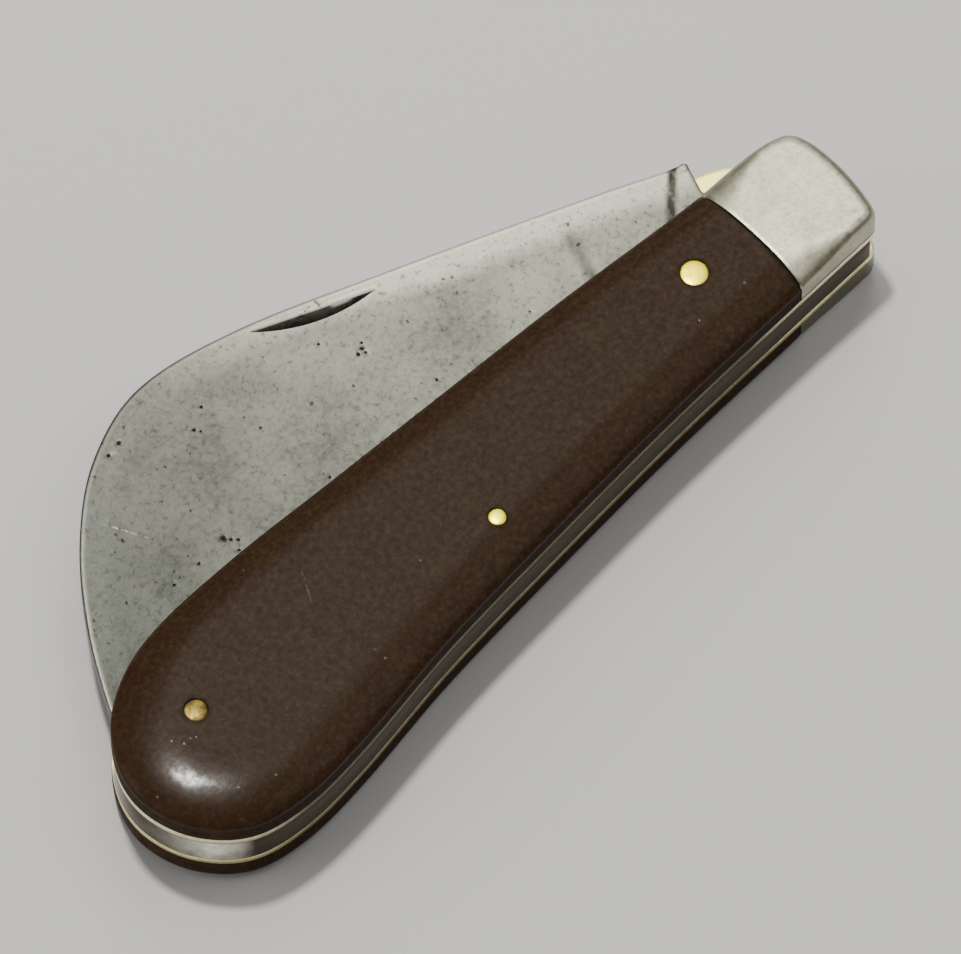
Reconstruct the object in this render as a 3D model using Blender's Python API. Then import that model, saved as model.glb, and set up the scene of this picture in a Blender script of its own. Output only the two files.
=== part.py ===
"""A folding pruning knife, closed and lying flat on its bottom cover.

Two brass liners carry the covers and bolsters, and a steel backspring is pinned between them. A
wide blade turns on a pivot pin through the bolsters, and a leaf in the bottom liner locks it open.

The handle is drawn in millimetres: +X towards the bolsters, +Y towards the side where the blade
comes out, and +Z up through the thickness. The empty "knife" carries that drawing to the centre
of the closed knife's footprint, in metres.
"""

import math

import bmesh
import bpy
from mathutils import Matrix, Vector
from mathutils.geometry import interpolate_bezier

MM = 0.001
PARTS = "pruning_knife"
CUTTERS = "cutters"

# Finishes: colour, metallic value and roughness.
FINISHES = {
    "cover": ((0.052, 0.034, 0.023), 0.0, 0.45),
    "bolster_steel": ((0.62, 0.61, 0.57), 1.0, 0.32),
    "blade_steel": ((0.45, 0.45, 0.42), 1.0, 0.38),
    "spring_steel": ((0.30, 0.30, 0.27), 1.0, 0.40),
    "liner_brass": ((0.76, 0.68, 0.42), 1.0, 0.34),
    "pin_brass": ((0.83, 0.75, 0.40), 1.0, 0.28),
}

# Layers, from the bottom cover's outer face up. Flat faces that touch keep a small gap.
COVER = 3.85
LINER = 0.90
SPRING = 3.70
TANG = 3.60
GAP = 0.05

BOTTOM_LINER_Z = COVER + GAP
SPRING_Z = BOTTOM_LINER_Z + LINER + GAP
TOP_LINER_Z = SPRING_Z + SPRING + GAP
TOP_COVER_Z = TOP_LINER_Z + LINER + GAP
THICKNESS = TOP_COVER_Z + COVER
MIDDLE_Z = THICKNESS / 2

# The handle's outline, counter-clockwise from its one sharp corner, at the back of the bolster.
HANDLE = [
    (46.5, -6.3), (47.3, -2.5), (47.6, 1.5), (47.1, 5.5), (45.7, 7.2), (41.0, 8.1),
    (33.0, 8.4), (16.5, 9.7), (-0.5, 10.6), (-14.0, 11.3), (-30.0, 12.05), (-41.5, 11.4),
    (-48.5, 8.4), (-52.5, 3.6), (-53.6, -1.4), (-51.9, -6.9), (-47.6, -11.1), (-41.5, -12.5),
    (-33.5, -12.1), (-18.5, -9.95), (-3.0, -8.6), (16.0, -7.3), (33.0, -6.7), (46.5, -6.3),
]
OUTLINE_STEPS = 4

# A cover and its bolster are one domed form, cut apart at a joint that bows towards the bolster.
WALL = 2.3
SIDE_ROUNDING = 5.0
BUTT_ROUNDING = 8.0
BUTT_START_X = -36.0
BUTT_BLEND = 14.0
BOLSTER_ROUNDING = 2.2
BOLSTER_BLEND = 8.0
DOME_STEPS = 4
JOINT_START_X = 35.0
JOINT_PEAK = (35.5, 0.9)
JOINT_RADIUS = 64.0

# Pins: centre and radius. Every bore is wider than its pin by the fit.
PIN_FIT = 0.05
PIN_SINK = 0.02
PIN_SIDES = 32
PIVOT = (41.1, 0.7)
PIVOT_RADIUS = 1.6
CENTER_PIN = (-5.8, -3.85)
CENTER_PIN_RADIUS = 0.95
BUTT_PIN = (-43.0, 1.85)
BUTT_PIN_RADIUS = 1.25
COVER_PIN = (28.05, 2.0)
COVER_PIN_RADIUS = 1.45

# The tang is square about the pivot, so the spring holds it closed, half open and open.
TANG_HALF = 4.1
TANG_CORNER = 1.4
STEP_X = 36.9
STEP_HEIGHT_Y = 10.0
STEP_CORNER = (37.4, 13.0)
STEP_CORNER_RADIUS = 0.6
KICK_X = 33.4
CHOIL = [(30.2, 0.2), (31.2, -0.6), (31.8, -2.4)]

# The blade's spine from the step to the point, and its hidden edge from the kick to the point.
SPINE = [
    (36.8, 13.75), (29.2, 17.1), (6.6, 26.2), (-9.0, 32.0), (-20.5, 34.0), (-29.3, 31.3),
    (-36.6, 25.7), (-42.6, 18.4), (-47.0, 10.9), (-49.0, 6.0),
]
EDGE = [
    (28.5, -1.2), (15.0, 3.0), (0.0, 6.3), (-15.0, 8.2), (-30.0, 8.8), (-40.0, 7.9), (-49.0, 6.0),
]
BLADE_STEPS = 3
EDGE_THICKNESS = 0.4

# The blade is thinner than the tang from a shoulder that slants down from the step.
BLADE = 3.2
SHOULDER = [(38.8, 15.3), (33.6, 10.5), (31.0, 7.4), (29.7, 3.0), (29.5, -6.0)]

# The grind leaves a flat strip under the spine, and runs out over the spine towards the point.
GRIND_STATIONS = 16
GRIND_STRIP = 3.2
GRIND_RUNOUT = -6.0
GRIND_RUNOUT_START = 0.6
GRIND_OVERLAP = 1.0
GRIND_PAST_EDGE = 3.0
GRIND_HEADROOM = 4.0
PLUNGE_SPINE = (24.4, 19.05)
PLUNGE_EDGE = (19.6, 1.6)

# The nail nick is a shallow cut by a tilted disc.
NICK_START = (5.2, 25.2)
NICK_END = (-7.8, 30.8)
NICK_DISC_RADIUS = 21.0
NICK_DISC_DEPTH = 8.0
NICK_DISC_SIDES = 96
NICK_TILT = math.radians(65)

# The backspring's inner edge, from the butt's front side to the flat under the tang.
SPRING_INNER = [
    (-46.5, 5.3), (-41.5, 4.9), (-38.0, 1.8), (-34.0, -2.4), (-26.0, -4.6),
    (-15.0, -3.3), (-6.0, -1.3), (3.0, -2.2), (14.0, -3.0), (24.0, -3.35), (31.0, -3.45),
]
SPRING_FRONT_Y = 5.5
SPRING_STEPS = 3

# The lock leaf lies in a pocket of the bottom liner, and its thumb tab stands past the outline.
LEAF_ROOT_X = -5.0
LEAF_BACK_Y = 5.0
LEAF_END_X = 44.6
LEAF_SLIT = 0.4
TAB_START_X = 31.0
TAB = [(33.6, 9.6), (36.0, 12.0), (38.2, 12.75), (40.5, 12.1), (42.8, 10.6), (44.6, 7.6)]
TAB_STEPS = 3

# How far a cutter reaches past what it cuts, and a place well outside the knife.
CUT_REACH = 5.0
OUTSIDE = 70.0


# ---------------------------------------------------------------- outlines


def smooth_run(points, steps):
    """A smooth line through the points, with that many pieces in each span."""
    points = [Vector(p) for p in points]
    last = len(points) - 1
    ways = []
    for i in range(last + 1):
        ways.append((points[min(i + 1, last)] - points[max(i - 1, 0)]).normalized())
    run = []
    for i in range(last):
        reach = (points[i + 1] - points[i]).length / 3
        leave = points[i] + ways[i] * reach
        arrive = points[i + 1] - ways[i + 1] * reach
        run += interpolate_bezier(points[i], leave, arrive, points[i + 1], steps + 1)[:-1]
    return [p.to_2d() for p in run + [points[-1]]]


def spaced(run, count):
    """That many points along a run, an equal length apart."""
    lengths = [0.0]
    for start, end in zip(run, run[1:]):
        lengths.append(lengths[-1] + (end - start).length)
    found = []
    for k in range(count):
        goal = lengths[-1] * k / (count - 1)
        i = max(j for j in range(len(run) - 1) if lengths[j] <= goal)
        share = (goal - lengths[i]) / (lengths[i + 1] - lengths[i])
        found.append(run[i].lerp(run[i + 1], share))
    return found


def arc(centre, radius, start_deg, end_deg, steps=4):
    """Points on an arc, both ends included."""
    turns = [math.radians(start_deg + (end_deg - start_deg) * i / steps) for i in range(steps + 1)]
    return [Vector(centre) + radius * Vector((math.cos(a), math.sin(a))) for a in turns]


def crossing(run, x):
    """The point where a run crosses that X."""
    for start, end in zip(run, run[1:]):
        if min(start.x, end.x) <= x < max(start.x, end.x):
            return start.lerp(end, (x - start.x) / (end.x - start.x))
    raise ValueError(f"the run doesn't cross x = {x}")


def handle_outline():
    """The closed outline that the covers, bolsters and liners share."""
    return smooth_run(HANDLE, OUTLINE_STEPS)[:-1]


def front_edge():
    """The stretch of the outline where the blade comes out, from the bolster to the butt."""
    outline = handle_outline()
    first = max(range(len(outline)), key=lambda i: outline[i].x)
    last = min(range(len(outline)), key=lambda i: outline[i].x)
    return outline[first : last + 1]


def back_edge():
    """The stretch along the backspring, from the butt to the bolster."""
    outline = handle_outline()
    last = min(range(len(outline)), key=lambda i: outline[i].x)
    return outline[last:] + outline[:1]


def blade_outline():
    """Step, spine, point, edge, kick and square tang, counter-clockwise."""
    tang_right = PIVOT[0] + TANG_HALF
    tang_top = PIVOT[1] + TANG_HALF
    tang_foot = PIVOT[1] - TANG_HALF
    round_x = tang_right - TANG_CORNER
    outline = arc((round_x, tang_foot + TANG_CORNER), TANG_CORNER, -90, 0)
    outline += arc((round_x, tang_top - TANG_CORNER), TANG_CORNER, 0, 90)
    outline += [Vector((STEP_X, tang_top)), Vector((STEP_X, STEP_HEIGHT_Y))]
    outline += arc(STEP_CORNER, STEP_CORNER_RADIUS, 15, 105, 3)
    outline += smooth_run(SPINE, BLADE_STEPS)[1:-1]
    outline += list(reversed(smooth_run(EDGE, BLADE_STEPS)))
    return outline + [Vector(p) for p in CHOIL] + [Vector((KICK_X, tang_foot))]


def spring_outline():
    """The back of the handle's outline, closed by the spring's own inner edge."""
    front = front_edge()
    back = back_edge()
    tang_foot = PIVOT[1] - TANG_HALF - GAP
    end_x = 2 * PIVOT[0] - STEP_X - GAP
    wrap = [p for p in front if p.y < SPRING_FRONT_Y and p.x < BUTT_START_X]
    outer = wrap + [p for p in back[1:] if p.x < end_x]
    outer.append(crossing(back, end_x))
    inner = smooth_run(SPRING_INNER, SPRING_STEPS)
    return outer + [Vector((end_x, tang_foot))] + list(reversed(inner))


def leaf_outline():
    """The lock leaf: root, straight back, end and thumb tab, then the handle's own front edge."""
    front = front_edge()
    outline = [Vector((LEAF_ROOT_X + GAP, LEAF_BACK_Y)), Vector((LEAF_END_X, LEAF_BACK_Y))]
    tab = [crossing(front, TAB_START_X)] + TAB
    outline += list(reversed(smooth_run(tab, TAB_STEPS)))
    outline += [p for p in front if LEAF_ROOT_X + 1 < p.x < TAB_START_X - 1]
    return outline + [crossing(front, LEAF_ROOT_X + GAP)]


def joint_line(offset):
    """The bowed joint between a cover and its bolster, from back to front, moved along X."""
    centre = (JOINT_PEAK[0] - JOINT_RADIUS, JOINT_PEAK[1])
    return arc(centre, JOINT_RADIUS + offset, -18, 18, 18)


# ---------------------------------------------------------------- solids


def clear_scene():
    for obj in list(bpy.data.objects):
        bpy.data.objects.remove(obj, do_unlink=True)


def add_collection(name):
    bpy.context.scene.collection.children.link(bpy.data.collections.new(name))


def mesh_of(name, bm):
    """Ends a bmesh as a named mesh with its faces pointing out."""
    bmesh.ops.recalc_face_normals(bm, faces=bm.faces)
    mesh = bpy.data.meshes.new(name)
    bm.to_mesh(mesh)
    bm.free()
    return mesh


def plate_mesh(name, outline, low, high):
    """A flat outline, extruded from one height to another."""
    curve = bpy.data.curves.new(name, "CURVE")
    curve.dimensions = "2D"
    curve.fill_mode = "BOTH"
    curve.extrude = (high - low) / 2
    spline = curve.splines.new("POLY")
    spline.points.add(len(outline) - 1)
    for point, (x, y) in zip(spline.points, outline):
        point.co = (x, y, 0, 1)
    spline.use_cyclic_u = True
    guide = bpy.data.objects.new(name, curve)
    guide.location.z = (low + high) / 2
    bpy.context.scene.collection.objects.link(guide)
    bpy.context.view_layer.update()
    graph = bpy.context.evaluated_depsgraph_get()
    flat = bpy.data.meshes.new_from_object(guide.evaluated_get(graph))
    flat.transform(guide.matrix_world)
    bpy.data.objects.remove(guide)
    bm = bmesh.new()
    bm.from_mesh(flat)
    bmesh.ops.remove_doubles(bm, verts=bm.verts, dist=0.001)
    return mesh_of(name, bm)


def cylinder_mesh(name, centre, radius, low, high):
    """An upright cylinder between two heights."""
    bm = bmesh.new()
    bmesh.ops.create_cone(
        bm, cap_ends=True, segments=PIN_SIDES, radius1=radius, radius2=radius, depth=high - low
    )
    bmesh.ops.translate(bm, verts=bm.verts, vec=(centre[0], centre[1], (low + high) / 2))
    return mesh_of(name, bm)


def loft_mesh(name, sections):
    """A closed skin over sections that have the same number of points."""
    bm = bmesh.new()
    rings = [[bm.verts.new(p) for p in section] for section in sections]
    for lower, upper in zip(rings, rings[1:]):
        for i in range(len(lower)):
            bm.faces.new((lower[i - 1], lower[i], upper[i], upper[i - 1]))
    bm.faces.new(rings[0])
    bm.faces.new(rings[-1])
    bmesh.ops.triangulate(bm, faces=bm.faces)
    return mesh_of(name, bm)


def eased(share):
    """0 to 1 with a smooth start and end."""
    share = min(max(share, 0.0), 1.0)
    return share * share * (3 - 2 * share)


def rounding_at(x):
    """How far in from the outline the dome reaches its full height: most at the butt."""
    butt = (BUTT_ROUNDING - SIDE_ROUNDING) * eased((BUTT_START_X - x) / BUTT_BLEND)
    bolster = (BOLSTER_ROUNDING - SIDE_ROUNDING) * eased((x - JOINT_START_X) / BOLSTER_BLEND)
    return SIDE_ROUNDING + butt + bolster


def domed_mesh(name, base_z, outward):
    """Cover and bolster of one side as one form: a flat face at base_z, and the dome beyond it."""
    outline = handle_outline()
    inward = []
    for i, point in enumerate(outline):
        along = (outline[(i + 1) % len(outline)] - outline[i - 1]).normalized()
        inward.append(Vector((-along.y, along.x)) * rounding_at(point.x))
    levels = [(0.0, 0.0), (0.0, WALL)]
    for step in range(1, DOME_STEPS + 1):
        angle = math.pi / 2 * step / DOME_STEPS
        levels.append((1 - math.cos(angle), WALL + (COVER - WALL) * math.sin(angle)))
    sections = []
    for share, height in levels:
        z = base_z + outward * height
        sections.append([(*(p + n * share), z) for p, n in zip(outline, inward)])
    return loft_mesh(name, sections)


def place(name, mesh, collection, at=(0, 0, 0)):
    """Links a mesh drawn in handle millimetres, with its origin moved to one point of it."""
    mesh.transform(Matrix.Translation(-Vector(at)))
    mesh.transform(Matrix.Scale(MM, 4))
    mesh.shade_smooth()
    mesh.set_sharp_from_angle(angle=math.radians(30))
    obj = bpy.data.objects.new(name, mesh)
    obj.parent = bpy.data.objects["knife"]
    obj.location = Vector(at) * MM
    bpy.data.collections[collection].objects.link(obj)
    return obj


def part(name, mesh, finish, at=(0, 0, 0)):
    """One piece of the knife, with its finish."""
    obj = place(name, mesh, PARTS, at)
    obj.data.materials.append(bpy.data.materials[finish])
    return obj


def cutter(name, mesh):
    """A hidden solid for Boolean cuts."""
    obj = place(name, mesh, CUTTERS)
    obj.hide_render = True
    obj.display_type = "WIRE"
    return obj


def cut(obj, *cutter_names):
    for name in cutter_names:
        boolean = obj.modifiers.new("cut_" + name, "BOOLEAN")
        boolean.operation = "DIFFERENCE"
        boolean.solver = "EXACT"
        boolean.object = bpy.data.objects[name]


# ---------------------------------------------------------------- cutters


def add_joint_blocks():
    """One block leaves the cover of a domed form and the other its bolster, a small gap apart."""
    bolster_side = joint_line(-GAP / 2) + [Vector((OUTSIDE, OUTSIDE)), Vector((OUTSIDE, -OUTSIDE))]
    cover_side = joint_line(GAP / 2) + [Vector((-OUTSIDE, OUTSIDE)), Vector((-OUTSIDE, -OUTSIDE))]
    for name, outline in (("bolster_block", bolster_side), ("cover_block", cover_side)):
        cutter(name, plate_mesh(name, outline, -CUT_REACH, THICKNESS + CUT_REACH))


def add_bores():
    """One upright bore for each place where a pin goes through."""
    for name, centre, radius in (
        ("pivot_bore", PIVOT, PIVOT_RADIUS),
        ("center_bore", CENTER_PIN, CENTER_PIN_RADIUS),
        ("butt_bore", BUTT_PIN, BUTT_PIN_RADIUS),
        ("cover_bore", COVER_PIN, COVER_PIN_RADIUS),
    ):
        bore = cylinder_mesh(name, centre, radius + PIN_FIT, -CUT_REACH, THICKNESS + CUT_REACH)
        cutter(name, bore)


def add_leaf_pocket():
    """The stretch of the bottom liner that the lock leaf takes the place of."""
    back_y = LEAF_BACK_Y - LEAF_SLIT
    end_x = LEAF_END_X + LEAF_SLIT
    corners = [(LEAF_ROOT_X, back_y), (end_x, back_y), (end_x, OUTSIDE), (LEAF_ROOT_X, OUTSIDE)]
    low = BOTTOM_LINER_Z - LINER
    high = BOTTOM_LINER_Z + 2 * LINER
    cutter("leaf_pocket", plate_mesh("leaf_pocket", corners, low, high))


def add_grind(name, side):
    """What the grinding wheel takes from one face of the blade, section by section to the point."""
    half = BLADE / 2
    past_spine = [p for p in smooth_run(SPINE, 6) if p.x < PLUNGE_SPINE[0] - 1]
    past_edge = [p for p in smooth_run(EDGE, 6) if p.x < PLUNGE_EDGE[0] - 1]
    spine = spaced([Vector(PLUNGE_SPINE)] + past_spine, GRIND_STATIONS)
    edge = spaced([Vector(PLUNGE_EDGE)] + past_edge, GRIND_STATIONS)
    sections = []
    for i, (top, foot) in enumerate(zip(spine, edge)):
        along = i / (GRIND_STATIONS - 1)
        if i < GRIND_STATIONS - 1:
            down = (foot - top).normalized()
        fade = max(0.0, (along - GRIND_RUNOUT_START) / (1 - GRIND_RUNOUT_START))
        strip = GRIND_STRIP + (GRIND_RUNOUT - GRIND_STRIP) * fade
        slope = (half - EDGE_THICKNESS / 2) / ((foot - top).length - strip)
        inner = top + down * (strip - GRIND_OVERLAP)
        outer = foot + down * GRIND_PAST_EDGE
        low_inner = half + slope * GRIND_OVERLAP
        low_outer = EDGE_THICKNESS / 2 - slope * GRIND_PAST_EDGE
        high = half + GRIND_HEADROOM
        section = [(inner, low_inner), (outer, low_outer), (outer, high), (inner, high)]
        sections.append([(p.x, p.y, MIDDLE_Z + side * z) for p, z in section])
    cutter(name, loft_mesh(name, sections))


def add_shoulders():
    """The thin layers above and below the blade that the shoulder leaves on the tang."""
    first = SHOULDER[0]
    last = SHOULDER[-1]
    outline = SHOULDER + [(-OUTSIDE, last[1]), (-OUTSIDE, OUTSIDE), (first[0], OUTSIDE)]
    top = plate_mesh("top_shoulder", outline, MIDDLE_Z + BLADE / 2, THICKNESS)
    cutter("top_shoulder", top)
    bottom = plate_mesh("bottom_shoulder", outline, 0, MIDDLE_Z - BLADE / 2)
    cutter("bottom_shoulder", bottom)


def add_nick_disc():
    """A disc whose flat side leans in from the nick's straight line, next to the spine."""
    start = Vector(NICK_START)
    end = Vector(NICK_END)
    chord = end - start
    along = chord.normalized().to_3d()
    to_edge = Vector((-along.y, along.x, 0))
    up = Vector((0, 0, 1))
    reach = to_edge * math.sin(NICK_TILT) - up * math.cos(NICK_TILT)
    axis = along.cross(reach)
    if axis.dot(to_edge) < 0:
        axis = -axis
    height = math.sqrt(NICK_DISC_RADIUS**2 - (chord.length / 2) ** 2)
    middle = ((start + end) / 2).to_3d() + up * (MIDDLE_Z + BLADE / 2)
    bm = bmesh.new()
    bmesh.ops.create_cone(
        bm,
        cap_ends=True,
        segments=NICK_DISC_SIDES,
        radius1=NICK_DISC_RADIUS,
        radius2=NICK_DISC_RADIUS,
        depth=NICK_DISC_DEPTH,
    )
    turn = Matrix((reach, axis.cross(reach), axis)).transposed().to_4x4()
    bmesh.ops.transform(bm, verts=bm.verts, matrix=turn)
    centre = middle - reach * height + axis * NICK_DISC_DEPTH / 2
    bmesh.ops.translate(bm, verts=bm.verts, vec=centre)
    cutter("nick_disc", mesh_of("nick_disc", bm))


# ---------------------------------------------------------------- the knife


def add_knife_empty():
    """Carries the handle's drawing to the centre of the closed knife's footprint."""
    handle = handle_outline()
    centre_x = (min(p.x for p in handle) + max(p.x for p in handle)) / 2
    centre_y = (min(p.y for p in handle) + max(p.y for p in blade_outline())) / 2
    knife = bpy.data.objects.new("knife", None)
    knife.location = (-centre_x * MM, -centre_y * MM, 0)
    bpy.data.collections[PARTS].objects.link(knife)


def add_materials():
    for name, (color, metallic, roughness) in FINISHES.items():
        made = bpy.data.materials.new(name)
        made.use_nodes = True
        shader = made.node_tree.nodes["Principled BSDF"]
        shader.inputs["Base Color"].default_value = (*color, 1)
        shader.inputs["Metallic"].default_value = metallic
        shader.inputs["Roughness"].default_value = roughness


def add_cover_and_bolster(side, base_z, outward):
    """The dark cover and the steel bolster of one side."""
    cover_name = side + "_cover"
    cover = part(cover_name, domed_mesh(cover_name, base_z, outward), "cover")
    cut(cover, "bolster_block", "center_bore", "butt_bore", "cover_bore")
    bolster_name = side + "_bolster"
    bolster = part(bolster_name, domed_mesh(bolster_name, base_z, outward), "bolster_steel")
    cut(bolster, "cover_block", "pivot_bore")


def add_liner(side, low):
    """A brass liner, of the handle's full outline."""
    name = side + "_liner"
    liner = part(name, plate_mesh(name, handle_outline(), low, low + LINER), "liner_brass")
    cut(liner, "pivot_bore", "center_bore", "butt_bore", "cover_bore")
    return liner


def add_lock_leaf():
    """The leaf lies flush in its pocket, with its origin at the root that it bends about."""
    mesh = plate_mesh("lock_leaf", leaf_outline(), BOTTOM_LINER_Z, BOTTOM_LINER_Z + LINER)
    root = (LEAF_ROOT_X, LEAF_BACK_Y, BOTTOM_LINER_Z + LINER / 2)
    part("lock_leaf", mesh, "liner_brass", at=root)


def add_backspring():
    """The spring fills the back of the handle and presses on the tang's square foot."""
    mesh = plate_mesh("backspring", spring_outline(), SPRING_Z, SPRING_Z + SPRING)
    spring = part("backspring", mesh, "spring_steel")
    cut(spring, "center_bore", "butt_bore")


def add_blade():
    """The blade, with its origin on the pivot's axis."""
    half = TANG / 2
    mesh = plate_mesh("blade", blade_outline(), MIDDLE_Z - half, MIDDLE_Z + half)
    blade = part("blade", mesh, "blade_steel", at=(*PIVOT, MIDDLE_Z))
    cut(blade, "pivot_bore", "top_shoulder", "bottom_shoulder")
    cut(blade, "top_grind", "bottom_grind", "nick_disc")


def add_pins():
    """Three pins run right through, and each cover has a short one into its liner."""
    low = PIN_SINK
    high = THICKNESS - PIN_SINK
    through = [
        ("pivot_pin", PIVOT, PIVOT_RADIUS, "bolster_steel"),
        ("center_pin", CENTER_PIN, CENTER_PIN_RADIUS, "pin_brass"),
        ("butt_pin", BUTT_PIN, BUTT_PIN_RADIUS, "pin_brass"),
    ]
    for name, centre, radius, finish in through:
        part(name, cylinder_mesh(name, centre, radius, low, high), finish)
    bottom_end = BOTTOM_LINER_Z + LINER
    bottom = cylinder_mesh("bottom_cover_pin", COVER_PIN, COVER_PIN_RADIUS, low, bottom_end)
    part("bottom_cover_pin", bottom, "pin_brass")
    top = cylinder_mesh("top_cover_pin", COVER_PIN, COVER_PIN_RADIUS, TOP_LINER_Z, high)
    part("top_cover_pin", top, "pin_brass")


def main():
    clear_scene()
    add_collection(PARTS)
    add_collection(CUTTERS)
    add_knife_empty()
    add_materials()

    add_joint_blocks()
    add_bores()
    add_leaf_pocket()
    add_grind("top_grind", 1)
    add_grind("bottom_grind", -1)
    add_shoulders()
    add_nick_disc()

    add_cover_and_bolster("bottom", COVER, -1)
    add_cover_and_bolster("top", TOP_COVER_Z, 1)
    cut(add_liner("bottom", BOTTOM_LINER_Z), "leaf_pocket")
    add_liner("top", TOP_LINER_Z)
    add_lock_leaf()
    add_backspring()
    add_blade()
    add_pins()


main()
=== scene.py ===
import math

import bmesh
import bpy
import numpy as np
from mathutils import Matrix, Vector
from mathutils.geometry import delaunay_2d_cdt, interpolate_bezier


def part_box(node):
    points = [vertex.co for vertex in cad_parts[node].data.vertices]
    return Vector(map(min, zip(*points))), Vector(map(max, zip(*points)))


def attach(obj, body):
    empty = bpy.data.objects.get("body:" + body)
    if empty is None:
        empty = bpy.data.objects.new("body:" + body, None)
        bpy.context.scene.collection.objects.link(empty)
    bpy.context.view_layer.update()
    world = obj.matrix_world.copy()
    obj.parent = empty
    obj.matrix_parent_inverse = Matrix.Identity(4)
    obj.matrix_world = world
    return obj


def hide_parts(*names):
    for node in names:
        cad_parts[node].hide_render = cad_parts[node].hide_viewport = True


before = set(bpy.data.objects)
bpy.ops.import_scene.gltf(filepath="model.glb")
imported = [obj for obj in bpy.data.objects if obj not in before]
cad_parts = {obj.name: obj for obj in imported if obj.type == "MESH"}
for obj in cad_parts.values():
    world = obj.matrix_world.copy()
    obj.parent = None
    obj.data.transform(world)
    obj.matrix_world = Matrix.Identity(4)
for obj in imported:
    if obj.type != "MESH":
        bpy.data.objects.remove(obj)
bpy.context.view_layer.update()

# A folding pruning knife, closed. The drawing below is in handle millimetres: +X towards the
# bolsters and +Y to the side where the blade comes out. Heights come from the frame's own boxes.
MM = 0.001

# ---- drawing

HANDLE = [
    (46.5, -6.3), (47.3, -2.5), (47.6, 1.5), (47.1, 5.5), (45.7, 7.2), (41.0, 8.1),
    (33.0, 8.4), (16.5, 9.7), (-0.5, 10.6), (-14.0, 11.3), (-30.0, 12.05), (-41.5, 11.4),
    (-48.5, 8.4), (-52.5, 3.6), (-53.6, -1.4), (-51.9, -6.9), (-47.6, -11.1), (-41.5, -12.5),
    (-33.5, -12.1), (-18.5, -9.95), (-3.0, -8.6), (16.0, -7.3), (33.0, -6.7), (46.5, -6.3),
]
CORNER_REACH = 1.3
OUTLINE_PITCH = 0.7

SIDE_ROUNDING = 5.0
BUTT_ROUNDING = 8.0
BUTT_START_X = -36.0
BUTT_BLEND = 14.0
BOLSTER_ROUNDING = 0.9
BOLSTER_BLEND = 8.0
WALL_SHARE = 0.6
BOLSTER_WALL_SHARE = 0.7
JOINT_START_X = 35.0
JOINT_PEAK = (35.5, 0.9)
JOINT_RADIUS = 64.0
JOINT_GAP = 0.05
JOINT_EDGE = 0.18
# Small bruises in the top cover: x, y and radius, in the drawing
COVER_NICKS = [
    (-47.2, 1.0, 0.15), (-46.5, -0.1, 0.13), (-45.6, -0.1, 0.10), (-45.1, -0.4, 0.12),
    (-45.9, -7.4, 0.10), (24.6, -2.3, 0.12),
]
COVER_SCRATCH = [(-24.3, 5.9), (-26.2, 2.2)]

PIVOT = (41.1, 0.7)
PIVOT_RADIUS = 1.6
CENTER_PIN = (-5.8, -3.85)
BUTT_PIN = (-43.0, 1.85)
COVER_PIN = (28.05, 2.0)

TANG_HALF = 4.1
TANG_CORNER = 1.4
STEP_X = 36.9
STEP_HEIGHT_Y = 10.0
STEP_CORNER = (37.4, 13.0)
STEP_CORNER_RADIUS = 0.6
KICK_X = 33.4
CHOIL = [(30.2, 0.2), (31.2, -0.6), (31.8, -2.4)]
SPINE = [
    (36.8, 13.75), (29.2, 17.1), (6.6, 26.2), (-9.0, 32.0), (-20.5, 34.0), (-29.3, 31.3),
    (-36.6, 25.7), (-42.6, 18.4), (-47.0, 10.9), (-49.0, 6.0),
]
EDGE = [
    (28.5, -1.2), (15.0, 3.0), (0.0, 6.3), (-15.0, 8.2), (-30.0, 8.8), (-40.0, 7.9), (-49.0, 6.0),
]
SHOULDER = [(38.8, 15.3), (33.6, 10.5), (31.0, 7.4), (29.7, 3.0), (29.5, -6.0)]
SHOULDER_WIDTH = 1.1
# A place beyond the tang's end, to close the shoulder line round the tang
PAST_TANG_X = 60.0
BLADE_DROP = 0.2
GRIND_STRIP = 3.2
GRIND_RUNOUT = -6.0
GRIND_RUNOUT_X = (-20.0, -48.0)
# A soft start keeps the line between strip and grind from looking scribed
GRIND_SOFT_START = 0.06
PLUNGE_SPINE = (24.4, 19.05)
PLUNGE_EDGE = (19.6, 1.6)
PLUNGE_WIDTH = 2.4
PLUNGE_FADE = 2.2
PLUNGE_FADE_LENGTH = 2.0
EDGE_THICKNESS = 0.4
EDGE_BEVEL = 0.8
SPINE_EASE = 0.3
SPINE_EASE_DEPTH = 0.14
RIM_EASE = 0.3
RIM_EASE_DEPTH = 0.12
BLADE_INSETS = [0.05, 0.16, 0.34, 0.56, 0.8, 1.2]
BLADE_PITCH = 0.75
# Rust pits in the blade's top face: x, y, radius and depth, in the drawing
BLADE_PITS = [
    (-0.6, 21.4, 0.24, 0.10), (-1.3, 21.2, 0.20, 0.08), (-0.6, 20.8, 0.14, 0.06),
    (-0.2, 21.9, 0.12, 0.05), (2.6, 13.7, 0.16, 0.05), (-25.6, 15.9, 0.26, 0.10),
    (-25.1, 15.3, 0.20, 0.08), (-24.6, 14.8, 0.16, 0.06), (-29.4, 15.6, 0.17, 0.06),
    (-25.3, 13.9, 0.16, 0.05), (-32.9, 15.6, 0.16, 0.05), (-19.4, 26.7, 0.20, 0.06),
    (-19.0, 26.1, 0.14, 0.05), (-17.1, 28.0, 0.16, 0.05), (-14.3, 22.2, 0.14, 0.04),
    (-26.1, 30.9, 0.20, 0.06), (-27.8, 30.6, 0.16, 0.05), (-12.9, 13.4, 0.15, 0.05),
    (14.8, 12.5, 0.14, 0.04), (-3.5, 24.8, 0.13, 0.04),
]
NICK_START = (5.2, 25.2)
NICK_END = (-7.8, 30.8)
NICK_DISC_RADIUS = 21.0
NICK_TILT = math.radians(65)
NICK_STATIONS = 49
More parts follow.
